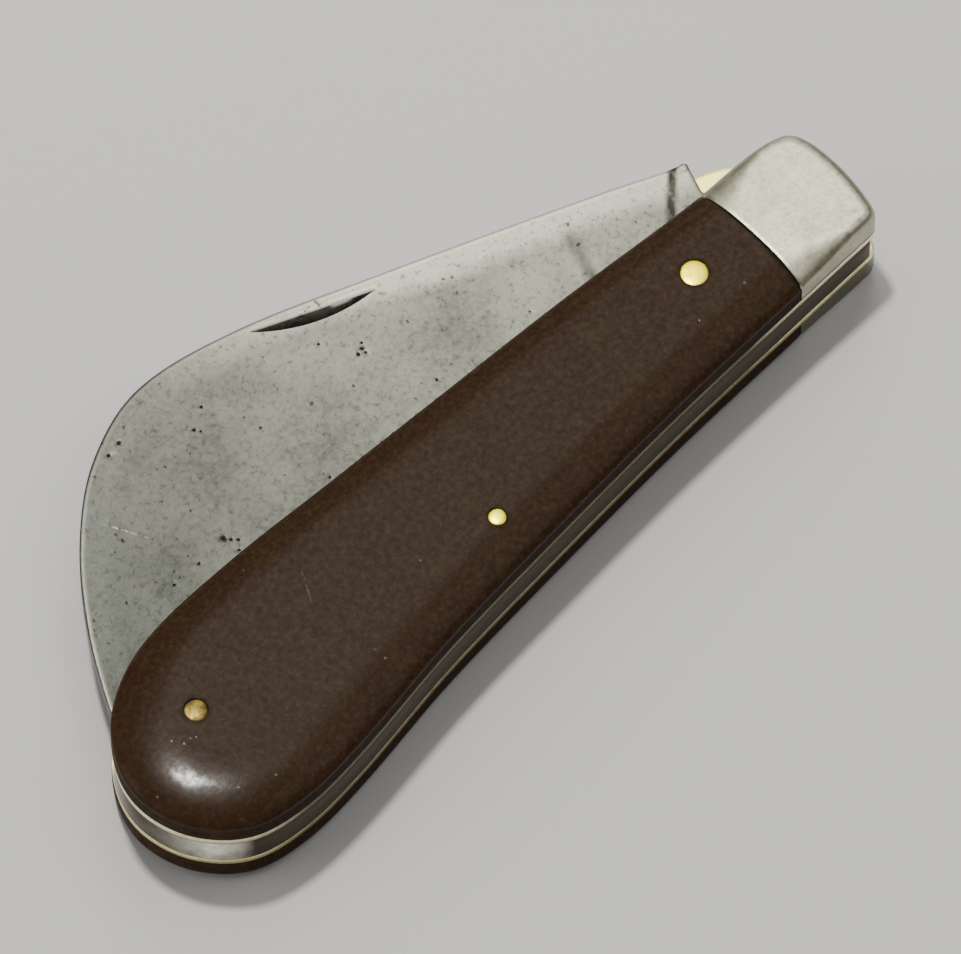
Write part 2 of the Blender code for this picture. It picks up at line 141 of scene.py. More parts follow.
# Where the nick is left bright as a painted glint, and a light scratch near the blade's belly
NICK_GLINT = [(0.3, 27.1), (2.7, 26.2)]
BLADE_SCRATCH = [(-33.6, 25.6), (-31.0, 20.8)]

SPRING_INNER = [
    (-46.5, 5.3), (-41.5, 4.9), (-38.0, 1.8), (-34.0, -2.4), (-26.0, -4.6),
    (-15.0, -3.3), (-6.0, -1.3), (3.0, -2.2), (14.0, -3.0), (24.0, -3.35), (31.0, -3.45),
]
SPRING_FRONT_Y = 5.5
SPRING_GAP = 0.05

LEAF_ROOT_X = -5.0
LEAF_BACK_Y = 5.0
LEAF_END_X = 44.6
LEAF_SLIT = 0.4
LEAF_GAP = 0.05
TAB_START_X = 31.0
TAB = [(33.6, 9.6), (36.0, 12.0), (38.2, 12.75), (40.5, 12.1), (42.8, 10.6), (44.6, 7.6)]

# The thin edge that tumbling leaves on sheet parts
PLATE_EASE = 0.07
LEAF_EASE = 0.1
SPRING_EASE = 0.12
PLATE_PITCH = 3.0

PIN_CLEARANCE = 0.04
PIN_CROWN = 0.1
PIN_SIDES = 48
# How far each end of the pivot stops short of its CAD solid's, to stay under the bolsters' faces
PIVOT_SUNK = 0.25
DRILL_LENGTH = 60.0


def smooth_run(points, steps=16):
    """A smooth line through the points, with that many pieces in each span."""
    points = [Vector(p) for p in points]
    last = len(points) - 1
    ways = []
    for i in range(last + 1):
        ways.append((points[min(i + 1, last)] - points[max(i - 1, 0)]).normalized())
    run = []
    for i in range(last):
        reach = (points[i + 1] - points[i]).length / 3
        leave = points[i] + ways[i] * reach
        arrive = points[i + 1] - ways[i + 1] * reach
        run += interpolate_bezier(points[i], leave, arrive, points[i + 1], steps + 1)[:-1]
    return [p.to_2d() for p in run + [points[-1]]]


def spaced(run, pitch):
    """Points along a run, about that far apart, with both ends kept."""
    lengths = [0.0]
    for start, end in zip(run, run[1:]):
        lengths.append(lengths[-1] + (end - start).length)
    count = max(2, round(lengths[-1] / pitch) + 1)
    goals = np.linspace(0, lengths[-1], count)
    xs = np.interp(goals, lengths, [p.x for p in run])
    ys = np.interp(goals, lengths, [p.y for p in run])
    return [Vector(p) for p in zip(xs, ys)]


def arc(centre, radius, start_deg, end_deg, steps=8):
    """Points on an arc, both ends included."""
    turns = np.radians(np.linspace(start_deg, end_deg, steps + 1))
    return [Vector(centre) + radius * Vector((math.cos(a), math.sin(a))) for a in turns]


def handle_outline():
    """The outline that covers, bolsters and liners share, with its one corner softened."""
    run = spaced(smooth_run(HANDLE), OUTLINE_PITCH)[:-1]
    corner = Vector(HANDLE[0])
    near = [i for i, p in enumerate(run) if (p - corner).length < CORNER_REACH]
    for _ in range(3):
        eased = {i: (run[i - 1] + 2 * run[i] + run[(i + 1) % len(run)]) / 4 for i in near}
        for i, p in eased.items():
            run[i] = p
    return run


OUTLINE = handle_outline()
FIRST = max(range(len(OUTLINE)), key=lambda i: OUTLINE[i].x)
LAST = min(range(len(OUTLINE)), key=lambda i: OUTLINE[i].x)
FRONT_EDGE = OUTLINE[FIRST : LAST + 1]
BACK_EDGE = OUTLINE[LAST:] + OUTLINE[: FIRST + 1]

# From the drawing to the row's frame
OFFSET_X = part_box("top_liner")[0].x / MM - min(p.x for p in smooth_run(HANDLE, 4))
OFFSET_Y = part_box("pivot_pin")[0].y / MM + PIVOT_RADIUS - PIVOT[1]
BLADE_LOW, BLADE_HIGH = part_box("blade")
MIDDLE_Z = (BLADE_LOW.z + BLADE_HIGH.z) / 2 / MM
TANG = (BLADE_HIGH.z - BLADE_LOW.z) / MM


def span_z(node):
    """A node's lowest and highest level, in millimetres."""
    low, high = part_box(node)
    return low.z / MM, high.z / MM


def crossing(run, x):
    """The point where a run crosses that X."""
    for start, end in zip(run, run[1:]):
        if min(start.x, end.x) <= x < max(start.x, end.x):
            return start.lerp(end, (x - start.x) / (end.x - start.x))
    raise ValueError(f"the run doesn't cross x = {x}")


def joint_x(y):
    """The joint between cover and bolster, at that Y."""
    return JOINT_PEAK[0] - JOINT_RADIUS + np.sqrt(JOINT_RADIUS**2 - (y - JOINT_PEAK[1]) ** 2)


def side_of_joint(side):
    """The outline of the cover (-1) or of the bolster (1), and the joint line that closes it."""
    def past(p):
        return side * (p.x - joint_x(p.y)) - JOINT_GAP / 2

    def meet(inner, outer):
        for _ in range(30):
            middle = (inner + outer) / 2
            if past(middle) > 0:
                inner = middle
            else:
                outer = middle
        return inner

    own = [past(p) > 0 for p in OUTLINE]
    first = next(i for i in range(len(OUTLINE)) if own[i] and not own[i - 1])
    ring = OUTLINE[first:] + OUTLINE[:first]
    count = sum(own)
    enter = meet(ring[0], ring[-1])
    leave = meet(ring[count - 1], ring[count])
    ys = np.linspace(leave.y, enter.y, round(abs(leave.y - enter.y) / OUTLINE_PITCH) + 1)
    line = [Vector((joint_x(y) + side * JOINT_GAP / 2, y)) for y in ys]
    return ring[:count], line


def spring_outline():
    """The back of the handle's outline, closed by the spring's own inner edge."""
    tang_foot = PIVOT[1] - TANG_HALF - SPRING_GAP
    end_x = 2 * PIVOT[0] - STEP_X - SPRING_GAP
    outer = [p for p in FRONT_EDGE if p.y < SPRING_FRONT_Y and p.x < BUTT_START_X]
    outer += [p for p in BACK_EDGE[1:] if p.x < end_x - OUTLINE_PITCH / 2 and p.y < 0 or p.x < 0]
    outer.append(crossing(BACK_EDGE, end_x))
    inner = spaced(smooth_run(SPRING_INNER), OUTLINE_PITCH)
    foot = Vector((end_x, tang_foot))
    return outer + spaced([foot, inner[-1]], OUTLINE_PITCH)[:-1] + list(reversed(inner))


def leaf_outline():
    """The lock leaf: root, straight back, end and thumb tab, then the handle's own front edge."""
    root_x = LEAF_ROOT_X + LEAF_GAP
    back = spaced([Vector((root_x, LEAF_BACK_Y)), Vector((LEAF_END_X, LEAF_BACK_Y))], 1.5)
    tab = smooth_run([crossing(FRONT_EDGE, TAB_START_X)] + TAB)
    front = [p for p in FRONT_EDGE if LEAF_ROOT_X + 1 < p.x < TAB_START_X - 1]
    outline = back + list(reversed(spaced(tab, 0.5))) + front
    return outline + [crossing(FRONT_EDGE, root_x)]


def blade_outline():
    """Step, spine, point, edge, kick and square tang, counter-clockwise."""
    tang_right = PIVOT[0] + TANG_HALF
    tang_top = PIVOT[1] + TANG_HALF
    tang_foot = PIVOT[1] - TANG_HALF
    round_x = tang_right - TANG_CORNER
    step = [Vector((STEP_X, tang_top)), Vector((STEP_X, STEP_HEIGHT_Y))]
    outline = arc((round_x, tang_foot + TANG_CORNER), TANG_CORNER, -90, 0)
    outline += arc((round_x, tang_top - TANG_CORNER), TANG_CORNER, 0, 90)
    outline += spaced(step, OUTLINE_PITCH)
    outline += arc(STEP_CORNER, STEP_CORNER_RADIUS, 15, 105, 8)
    outline += spaced(smooth_run(SPINE), OUTLINE_PITCH)[1:-1]
    outline += list(reversed(spaced(smooth_run(EDGE), OUTLINE_PITCH)))
    outline += [Vector(p) for p in CHOIL]
    return outline + [Vector((KICK_X, tang_foot))]


# ---- surfaces


def distance_to(points, line, closed=False):
    """Each point's distance to a line of points."""
    starts = np.array(line, float)
    ends = np.roll(starts, -1, axis=0)
    if not closed:
        starts = starts[:-1]
        ends = ends[:-1]
    along = ends - starts
    found = []
    for chunk in np.array_split(points, max(1, len(points) // 2000)):
        away = chunk[:, None, :] - starts[None]
        share = np.clip((away * along).sum(2) / (along**2).sum(1), 0, 1)
        found.append(np.linalg.norm(away - share[..., None] * along, axis=2).min(1))
    return np.concatenate(found)


def inside(points, loop):
    """Whether each point is inside a closed loop."""
    starts = np.array(loop, float)
    ends = np.roll(starts, -1, axis=0)
    crossings = np.zeros(len(points), int)
    for (ax, ay), (bx, by) in zip(starts, ends):
        if ay == by:
            continue
        spans = (ay > points[:, 1]) != (by > points[:, 1])
        x = ax + (points[:, 1] - ay) / (by - ay) * (bx - ax)
        crossings += spans & (points[:, 0] < x)
    return crossings % 2 == 1


def eased(share):
    """0 to 1 with a smooth start and end."""
    share = np.clip(share, 0.0, 1.0)
    return share * share * (3 - 2 * share)


def closed_evenly(outline, pitch):
    """The outline with extra points on any side that is longer than the pitch."""
    found = []
    for start, end in zip(outline, outline[1:] + outline[:1]):
        count = max(1, math.ceil((end - start).length / pitch - 1e-6))
        found += [start.lerp(end, k / count) for k in range(count)]
    return found


def inner_points(outline, insets, pitch):
    """Rings that follow an outline at those insets, then an even field of points inside them."""
    line = np.array(outline, float)
    along = np.roll(line, -1, axis=0) - np.roll(line, 1, axis=0)
    along /= np.linalg.norm(along, axis=1)[:, None]
    normals = np.stack([-along[:, 1], along[:, 0]], axis=1)
    found = []
    for inset in insets:
        ring = line + normals * inset
        kept = inside(ring, outline) & (distance_to(ring, outline, True) > inset * 0.93)
        found.append(ring[kept])
    low = line.min(0)
    high = line.max(0)
    rows = np.arange(low[1], high[1], pitch * 0.87)
    for k, y in enumerate(rows):
        xs = np.arange(low[0] + (k % 2) * pitch / 2, high[0], pitch)
        found.append(np.stack([xs, np.full(len(xs), y)], axis=1))
    field = np.concatenate(found[len(insets) :])
    reach = (insets[-1] if insets else 0) + pitch * 0.6
    field = field[inside(field, outline)]
    field = field[distance_to(field, outline, True) > reach]
    return np.concatenate(found[: len(insets)] + [field])


def solid(name, outline, points, top, bottom, edges=()):
    """A closed piece: an outline filled with points, raised to two heights and walled between."""
    corners = [Vector(p) for p in outline] + [Vector(p) for p in points]
    face = list(range(len(outline)))
    links = [(a + len(outline), b + len(outline)) for a, b in edges]
    places, _, faces = delaunay_2d_cdt(corners, links, [face], 1, 1e-5)[:3]
    flat = np.array([tuple(p) for p in places])
    bm = bmesh.new()
    upper = [bm.verts.new((x, y, z)) for (x, y), z in zip(flat, top(flat))]
    lower = [bm.verts.new((x, y, z)) for (x, y), z in zip(flat, bottom(flat))]
    for corner in faces:
        bm.faces.new([upper[i] for i in corner])
    rim = [e for e in bm.edges if len(e.link_faces) == 1]
    index = {v: i for i, v in enumerate(upper)}
    walls = []
    for e in rim:
        loop = e.link_loops[0]
        start = index[loop.vert]
        end = index[loop.link_loop_next.vert]
        walls.append((upper[end], upper[start], lower[start], lower[end]))
    for corner in faces:
        bm.faces.new([lower[i] for i in reversed(corner)])
    for wall in walls:
        bm.faces.new(wall)
    loose = [v for v in bm.verts if not v.link_faces]
    bmesh.ops.delete(bm, geom=loose, context="VERTS")
    return piece(name, bm)


def piece(name, bm, sharp_deg=32):
    """A bmesh in handle millimetres, as an object in the row's frame."""
    bmesh.ops.translate(bm, verts=bm.verts, vec=(OFFSET_X, OFFSET_Y, 0))
    bmesh.ops.scale(bm, verts=bm.verts, vec=(MM, MM, MM))
    bmesh.ops.recalc_face_normals(bm, faces=bm.faces)
    mesh = bpy.data.meshes.new(name)
    bm.to_mesh(mesh)
    bm.free()
    mesh.shade_smooth()
    mesh.set_sharp_from_angle(angle=math.radians(sharp_deg))
    obj = bpy.data.objects.new(name, mesh)
    bpy.context.scene.collection.objects.link(obj)
    return obj


def mark(obj, name, measure):
    """Stores a value at each of the piece's points, for its finish to read."""
    places = np.empty(len(obj.data.vertices) * 3)
    obj.data.vertices.foreach_get("co", places)
    flat = places.reshape(-1, 3)[:, :2] / MM - np.array((OFFSET_X, OFFSET_Y))
    stored = obj.data.attributes.new(name, "FLOAT", "POINT")
    stored.data.foreach_set("value", np.asarray(measure(flat), np.float32))


def stand_for(obj, node, body, finish):
    """The piece takes a CAD node's place: it rides on its body and wears a finish."""
    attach(obj, body)
    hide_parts(node)
    obj.data.materials.append(finish)


def ease_drop(distance, width, depth):
    """How far an edge rounded over that width lies below its face."""
    share = np.clip(1 - distance / width, 0, 1)
    return depth * (1 - np.sqrt(1 - share**2))


def plate(name, outline, low, high, ease):
    """A sheet part with eased edges."""
    outline = closed_evenly(outline, OUTLINE_PITCH * 1.5)
    points = inner_points(outline, [ease * 0.3, ease, ease * 4], PLATE_PITCH)

    def drop(flat):
        return ease_drop(distance_to(flat, outline, True), ease, ease)

    return solid(name, outline, points, lambda f: high - drop(f), lambda f: low + drop(f))


# ---- pieces


def rounding_at(x):
    """How far in from the outline the dome reaches its full height: most at the butt."""
    butt = (BUTT_ROUNDING - SIDE_ROUNDING) * eased((BUTT_START_X - x) / BUTT_BLEND)
    bolster = (BOLSTER_ROUNDING - SIDE_ROUNDING) * eased((x - JOINT_START_X) / BOLSTER_BLEND)
    return SIDE_ROUNDING + butt + bolster


def wall_at(x):
    """The share of the thickness that stands upright before the dome begins."""
    bolster = (BOLSTER_WALL_SHARE - WALL_SHARE) * eased((x - JOINT_START_X) / BOLSTER_BLEND)
    return WALL_SHARE + bolster


def dome(flat, height):
    """Height of the dome over its flat face."""
    share = np.clip(1 - distance_to(flat, OUTLINE, True) / rounding_at(flat[:, 0]), 0, 1)
    wall = height * wall_at(flat[:, 0])
    return wall + (height - wall) * np.sqrt(1 - share**2)


DOME_INSETS = [0.02, 0.07, 0.2, 0.45, 0.8, 1.3, 1.9, 2.6, 3.4, 4.4, 5.6]


def domed(name, side, base, tip):
    """A cover or bolster: flat at its base, domed at its tip, with its joint edge eased."""
    run, line = side_of_joint(side)
    outline = run + line
    points = inner_points(outline, DOME_INSETS, 1.3)
    outward = 1 if tip > base else -1

    def surface(flat):
        edge = ease_drop(distance_to(flat, line), JOINT_EDGE, JOINT_EDGE)
        return base + outward * (dome(flat, abs(tip - base)) - edge)

    def face(flat):
        return np.full(len(flat), base)

    if outward > 0:
        return solid(name, outline, points, surface, face)
    return solid(name, outline, points, face, surface)


def grind_drop(flat, half):
    """How far the grind takes a face of the blade down from its flat."""
    spine = smooth_run(SPINE, 6)
    edge = smooth_run(EDGE, 6)
    from_spine = distance_to(flat, spine)
    from_edge = distance_to(flat, edge)
    start, end = GRIND_RUNOUT_X
    fade = np.clip((flat[:, 0] - start) / (end - start), 0, 1)
    strip = GRIND_STRIP + (GRIND_RUNOUT - GRIND_STRIP) * fade
    share = (from_spine - strip) / np.maximum(from_spine + from_edge - strip, 0.01)
    half_start = GRIND_SOFT_START / 2
    rise = np.clip(1 + (share - GRIND_SOFT_START) / GRIND_SOFT_START, 0, 9)
    share = np.where(share > GRIND_SOFT_START, share, half_start * rise**2 + half_start)
    share = np.clip(share - half_start, 0, 1)
    top = np.array(PLUNGE_SPINE)
    down = np.array(PLUNGE_EDGE) - top
    ahead = ((flat - top) @ np.array((down[1], -down[0]))) / np.linalg.norm(down)
    plunge = eased(ahead / PLUNGE_WIDTH + 0.5)
    return share * plunge * (half - EDGE_THICKNESS / 2)


def nick_frame():
    """The nick's straight side: middle, direction, direction to the edge, and half length."""
    start = np.array(NICK_START)
    end = np.array(NICK_END)
    along = (end - start) / np.linalg.norm(end - start)
    to_edge = np.array((-along[1], along[0]))
    return (start + end) / 2, along, to_edge, np.linalg.norm(end - start) / 2


def nick_reach(a):
    """How far the disc reaches in its own plane, at that place along the nick."""
    half = nick_frame()[3]
    height = math.sqrt(NICK_DISC_RADIUS**2 - half**2)
    return np.sqrt(np.maximum(NICK_DISC_RADIUS**2 - a**2, 0)) - height


def nick_drop(flat):
    """Depth of the nail nick: a long slope from its straight side, then a steep curved wall."""
    middle, along, to_edge, half = nick_frame()
    a = (flat - middle) @ along
    w = (flat - middle) @ to_edge
    reach = np.where(np.abs(a) < half, nick_reach(a), 0.0)
    slope = w / math.tan(NICK_TILT)
    wall = (reach / math.sin(NICK_TILT) - w) * math.tan(NICK_TILT)
    return np.where((w > 0) & (reach > 0), np.clip(np.minimum(slope, wall), 0, None), 0.0)


def nick_points():
    """Points along the nick's two sides and its floor, and the links that keep them crisp."""
    middle, along, to_edge, half = nick_frame()
    stations = np.linspace(-half, half, NICK_STATIONS)
    lines = []
    for share in (0.0, math.sin(NICK_TILT), 1 / math.sin(NICK_TILT)):
        inner = stations[1:-1] if share else stations
        reach = nick_reach(inner) * share
        lines.append(middle + np.outer(inner, along) + np.outer(reach, to_edge))
    points = np.concatenate(lines)
    links = []
    first = 0
    for line in lines:
        links += [(first + i, first + i + 1) for i in range(len(line) - 1)]
        first += len(line)
    ends = len(lines[0]) - 1
    for start in (len(lines[0]), len(lines[0]) + len(lines[1])):
        links.append((0, start))
        links.append((ends, start + len(lines[1]) - 1))
    return points, links


def pit_drop(flat):
    """Depth of the rust pits: small bowls with uneven rims."""
    drop = np.zeros(len(flat))
    for x, y, radius, depth in BLADE_PITS:
        away = flat - np.array((x, y))
        turn = np.arctan2(away[:, 1], away[:, 0])
        ragged = radius * (1 + 0.25 * np.sin(3 * turn + x) + 0.15 * np.sin(5 * turn + y))
        share = np.linalg.norm(away, axis=1) / ragged
        drop = np.maximum(drop, depth * np.clip(1 - share**2, 0, 1))
    return drop


def pit_points():
    """Points at each pit's middle and on rings inside, near and just outside its rim."""
    found = []
    for x, y, radius, _ in BLADE_PITS:
        found.append((x, y))
        for share, count in ((0.5, 7), (0.9, 11), (1.3, 13)):
            for k in range(count):
                turn = 2 * math.pi * (k + share) / count
                reach = share * radius
                found.append((x + reach * math.cos(turn), y + reach * math.sin(turn)))
    return np.array(found)


def blade():
    """The blade: square tang, hollow shoulder, flat strip, ground cheeks, nick and pits."""
    outline = closed_evenly(blade_outline(), OUTLINE_PITCH)
    crisp, links = nick_points()
    points = inner_points(outline, BLADE_INSETS, BLADE_PITCH)
    points = points[distance_to(points, crisp[:NICK_STATIONS]) > 0.25]
    middle, along, to_edge, half_length = nick_frame()
    a = (points - middle) @ along
    w = (points - middle) @ to_edge
    in_nick = (np.abs(a) < half_length) & (w > -0.1) & (w < nick_reach(a) * 1.25 + 0.15)
    points = points[~in_nick]
    pits = pit_points()
    clear = np.ones(len(points), bool)
    for x, y, radius, _ in BLADE_PITS:
        clear &= np.linalg.norm(points - np.array((x, y)), axis=1) > radius * 1.5
    points = np.concatenate([points[clear], pits[inside(pits, outline)]])
    half = TANG / 2
    spine_line = smooth_run(SPINE, 6)
    edge_line = smooth_run(EDGE, 6)
    shoulder = [Vector(p) for p in SHOULDER]
    closed_shoulder = shoulder + [Vector((PAST_TANG_X, p.y)) for p in (shoulder[-1], shoulder[0])]

    def thickness(flat):
        on_tang = np.where(inside(flat, closed_shoulder), 1.0, -1.0)
        past = -on_tang * distance_to(flat, shoulder)
        drop = BLADE_DROP * eased(past / SHOULDER_WIDTH)
        drop = drop + grind_drop(flat, half - BLADE_DROP)
        rim = ease_drop(distance_to(flat, outline, True), RIM_EASE, RIM_EASE_DEPTH)
        spine_rim = ease_drop(distance_to(flat, spine_line), SPINE_EASE, SPINE_EASE_DEPTH)
        left = half - drop - np.maximum(rim, spine_rim)
        sharp = 0.02 + distance_to(flat, edge_line) * (EDGE_THICKNESS / 2) / EDGE_BEVEL
        return np.minimum(left, sharp)

    def top(flat):
        return MIDDLE_Z + thickness(flat) - nick_drop(flat) - pit_drop(flat)

    def bottom(flat):
        return MIDDLE_Z - thickness(flat)

    made = solid("blade_forged", outline, np.concatenate([crisp, points]), top, bottom, links)
    # In centimetres, so that the finish reads values of about 0 to 1
    mark(made, "from_spine", lambda flat: distance_to(flat, spine_line) / 10)
    mark(made, "nick", nick_drop)
    mark(made, "plunge", plunge_band)
    mark(made, "shoulder", lambda flat: shoulder_band(flat, shoulder, closed_shoulder))
    return made


def plunge_band(flat):
    """1 along the plunge line, fading to either side and towards the spine."""
    top = np.array(PLUNGE_SPINE)
    down = np.array(PLUNGE_EDGE) - top
    along = down / np.linalg.norm(down)
    away = np.abs((flat - top) @ np.array((along[1], -along[0])))
    depth = (flat - top) @ along
    fade = np.clip((depth - PLUNGE_FADE) / PLUNGE_FADE_LENGTH, 0, 1)
    return np.clip(1 - away / PLUNGE_WIDTH * 2, 0, 1) * fade


def shoulder_band(flat, shoulder, tang_side):
    """1 in the hollow beside the tang, where shade is painted."""
    past = distance_to(flat, shoulder) * np.where(inside(flat, tang_side), -1, 1)
    return np.clip(1 - np.abs(past - SHOULDER_WIDTH * 0.35) / (SHOULDER_WIDTH * 0.75), 0, 1)


def pin(name, centre, radius, low, high, crown):
    """A pin with a filed, slightly crowned head at each end."""
    angles = np.radians((70, 50, 30, 14))
    head = [(radius * math.cos(a) * 0.98, crown * (1 - math.sin(a))) for a in angles]
    head.append((radius, crown))
    profile = [(r, low + drop) for r, drop in head]
    profile += [(r, high - drop) for r, drop in reversed(head)]
    bm = bmesh.new()
    rings = []
    for r, z in profile:
        ring = []
        for k in range(PIN_SIDES):
            turn = 2 * math.pi * k / PIN_SIDES
            out = r * (1 + 0.012 * math.sin(3 * turn + centre[0]))
            x = centre[0] + out * math.cos(turn)
            y = centre[1] + out * math.sin(turn)
            ring.append(bm.verts.new((x, y, z)))
        rings.append(ring)
    foot = bm.verts.new((*centre, low))
    tip = bm.verts.new((*centre, high))
    for k in range(PIN_SIDES):
        bm.faces.new((foot, rings[0][k], rings[0][k - 1]))
        bm.faces.new((tip, rings[-1][k - 1], rings[-1][k]))
        for lower, upper in zip(rings, rings[1:]):
            bm.faces.new((lower[k - 1], lower[k], upper[k], upper[k - 1]))
    return piece(name, bm, 50)


def bored(obj, bores):
    """Cuts the holes for pins, each a hair wider than its pin."""
    for centre, radius in bores:
        bm = bmesh.new()
        bmesh.ops.create_cone(
            bm, cap_ends=True, segments=64, radius1=radius, radius2=radius, depth=DRILL_LENGTH
        )
        bmesh.ops.translate(bm, verts=bm.verts, vec=(*centre, 0))
        drill = piece("drill", bm)
        boolean = obj.modifiers.new("bore", "BOOLEAN")
        boolean.operation = "DIFFERENCE"
        boolean.solver = "EXACT"
        boolean.object = drill
        graph = bpy.context.evaluated_depsgraph_get()
        cut = bpy.data.meshes.new_from_object(obj.evaluated_get(graph))
        obj.modifiers.clear()
        cut.name = obj.data.name
        obj.data = cut
        bpy.data.objects.remove(drill)
    obj.data.set_sharp_from_angle(angle=math.radians(32))


# ---- finishes


def linear(*rgb):
    """A colour given as 0 to 255 screen values, in Blender's linear values."""
    found = []
    for value in rgb:
        share = value / 255
        found.append(share / 12.92 if share <= 0.04045 else ((share + 0.055) / 1.055) ** 2.4)
    return (*found, 1.0)


class Finish:
    """A Principled material, and the nodes that feed it. Sizes are in millimetres."""

    def __init__(self, name, metallic, gloss=0.5):
        self.material = bpy.data.materials.new(name)
        self.material.use_nodes = True
        self.tree = self.material.node_tree
        self.shader = self.tree.nodes["Principled BSDF"]
        self.shader.inputs["Metallic"].default_value = metallic
        self.shader.inputs["Specular IOR Level"].default_value = gloss
        self.place = self.node("ShaderNodeTexCoord").outputs["Object"]

    def node(self, kind, **settings):
        made = self.tree.nodes.new(kind)
        for key, value in settings.items():
            setattr(made, key, value)
        return made

    def feed(self, socket, value):
        """Links an output to a socket, or sets a plain value on it."""
        if isinstance(value, bpy.types.NodeSocket):
            self.tree.links.new(value, socket)
        else:
            socket.default_value = value

    def math(self, operation, a, b=0.0):
        made = self.node("ShaderNodeMath", operation=operation)
        self.feed(made.inputs[0], a)
        self.feed(made.inputs[1], b)
        return made.outputs[0]

    def times(self, a, b):
        return self.math("MULTIPLY", a, b)

    def turned(self, turn_deg, stretch=(1, 1, 1), shift=(0, 0, 0)):
        """The place, turned about Z and then stretched, so that a pattern runs along a way."""
        made = self.node("ShaderNodeMapping")
        made.inputs["Rotation"].default_value = (0, 0, math.radians(turn_deg))
        made.inputs["Location"].default_value = shift
        self.feed(made.inputs["Vector"], self.place)
        squeezed = self.node("ShaderNodeMapping")
        squeezed.inputs["Scale"].default_value = stretch
        self.feed(squeezed.inputs["Vector"], made.outputs[0])
        return squeezed.outputs[0]

    def axis(self, name, place=None):
        """One coordinate of a place: X, Y or Z."""
        made = self.node("ShaderNodeSeparateXYZ")
        self.feed(made.inputs[0], place or self.place)
        return made.outputs[name]

    def noise(self, size, detail=4.0, rough=0.55, place=None, bend=0.0):
        """Noise from 0 to 1 whose features are about that size."""
        made = self.node("ShaderNodeTexNoise")
        self.feed(made.inputs["Vector"], place or self.place)
        made.inputs["Scale"].default_value = 1 / (size * MM)
        made.inputs["Detail"].default_value = detail
        made.inputs["Roughness"].default_value = rough
        made.inputs["Distortion"].default_value = bend
        return made.outputs["Fac"]

    def stored(self, name):
        """The value that mark() put on the mesh."""
        return self.node("ShaderNodeAttribute", attribute_name=name).outputs["Fac"]

    def cells(self, size, warp=0.0):
        """Distance to the nearest of scattered points, and a random value for each. Warp bends it."""
        noise = self.node("ShaderNodeTexNoise")
        noise.inputs["Scale"].default_value = 2.6 / (size * MM)
        self.feed(noise.inputs["Vector"], self.place)
        shift = self.node("ShaderNodeVectorMath", operation="MULTIPLY_ADD")
        self.feed(shift.inputs[0], noise.outputs["Color"])
        shift.inputs[1].default_value = (warp * size * MM,) * 3
        self.feed(shift.inputs[2], self.place)
        made = self.node("ShaderNodeTexVoronoi")
        self.feed(made.inputs["Vector"], shift.outputs[0])
        made.inputs["Scale"].default_value = 1 / (size * MM)
        value = self.node("ShaderNodeSeparateColor")
        self.feed(value.inputs[0], made.outputs["Color"])
        return made.outputs["Distance"], value.outputs[0]

    def ranged(self, value, low, high, new_low=0.0, new_high=1.0):
        """The value's stretch from low to high, spread over the new one."""
        made = self.node("ShaderNodeMapRange")
        self.feed(made.inputs["Value"], value)
        made.inputs["From Min"].default_value = low
        made.inputs["From Max"].default_value = high
        made.inputs["To Min"].default_value = new_low
        made.inputs["To Max"].default_value = new_high
        return made.outputs["Result"]

    def mixed(self, share, first, second):
        made = self.node("ShaderNodeMix", data_type="RGBA")
        self.feed(made.inputs["Factor"], share)
        self.feed(made.inputs[6], first)
        self.feed(made.inputs[7], second)
        return made.outputs[2]

    def stained(self, base, mask, strength, color):
        """The base with a colour laid over it where the mask is."""
        return self.mixed(self.times(mask, strength), base, color)

    def spots(self, places, warp=0.5):
        """1 inside any spot (x, y, radius, in the drawing), with ragged edges."""
        ragged = self.noise(0.45, 3.0)
        total = 0.0
        for x, y, radius in places:
            flat = self.node("ShaderNodeVectorMath", operation="MULTIPLY")
            self.feed(flat.inputs[0], self.place)
            flat.inputs[1].default_value = (1, 1, 0)
            away = self.node("ShaderNodeVectorMath", operation="DISTANCE")
            self.feed(away.inputs[0], flat.outputs[0])
            away.inputs[1].default_value = ((x + OFFSET_X) * MM, (y + OFFSET_Y) * MM, 0)
            uneven = self.ranged(ragged, 0.3, 0.7, 1 - warp, 1 + warp)
            reach = self.times(uneven, radius * MM)
            share = self.math("DIVIDE", away.outputs["Value"], reach)
            total = self.math("MAXIMUM", self.ranged(share, 0.4, 1.2, 1.0, 0.0), total)
        return total

    def streaks(self, turn_deg, length, width, low, high, shift=(0, 0, 0)):
        """Thin lines along a way, kept where stretched noise is over a level."""
        place = self.turned(turn_deg, (1 / length, 1 / width, 1 / length), shift)
        return self.ranged(self.noise(1.0, 2.0, 0.5, place), low, high)

    def scratch(self, start, end, width):
        """1 along a scratch between two places in the drawing, fading at its ends."""
        start = Vector((*start, 0))
        end = Vector((*end, 0))
        turn = math.atan2(end.y - start.y, end.x - start.x)
        middle = (start + end) / 2 + Vector((OFFSET_X, OFFSET_Y, 0))
        shift = -(Matrix.Rotation(-turn, 3, "Z") @ middle) * MM
        place = self.turned(-math.degrees(turn), shift=shift)
        half = (end - start).length / 2 * MM
        along = self.ranged(self.math("ABSOLUTE", self.axis("X", place)), half * 0.5, half, 1.0, 0.0)
        across = self.math("ABSOLUTE", self.axis("Y", place))
        across = self.ranged(across, width * 0.3 * MM, width * MM, 1.0, 0.0)
        return self.times(along, across)

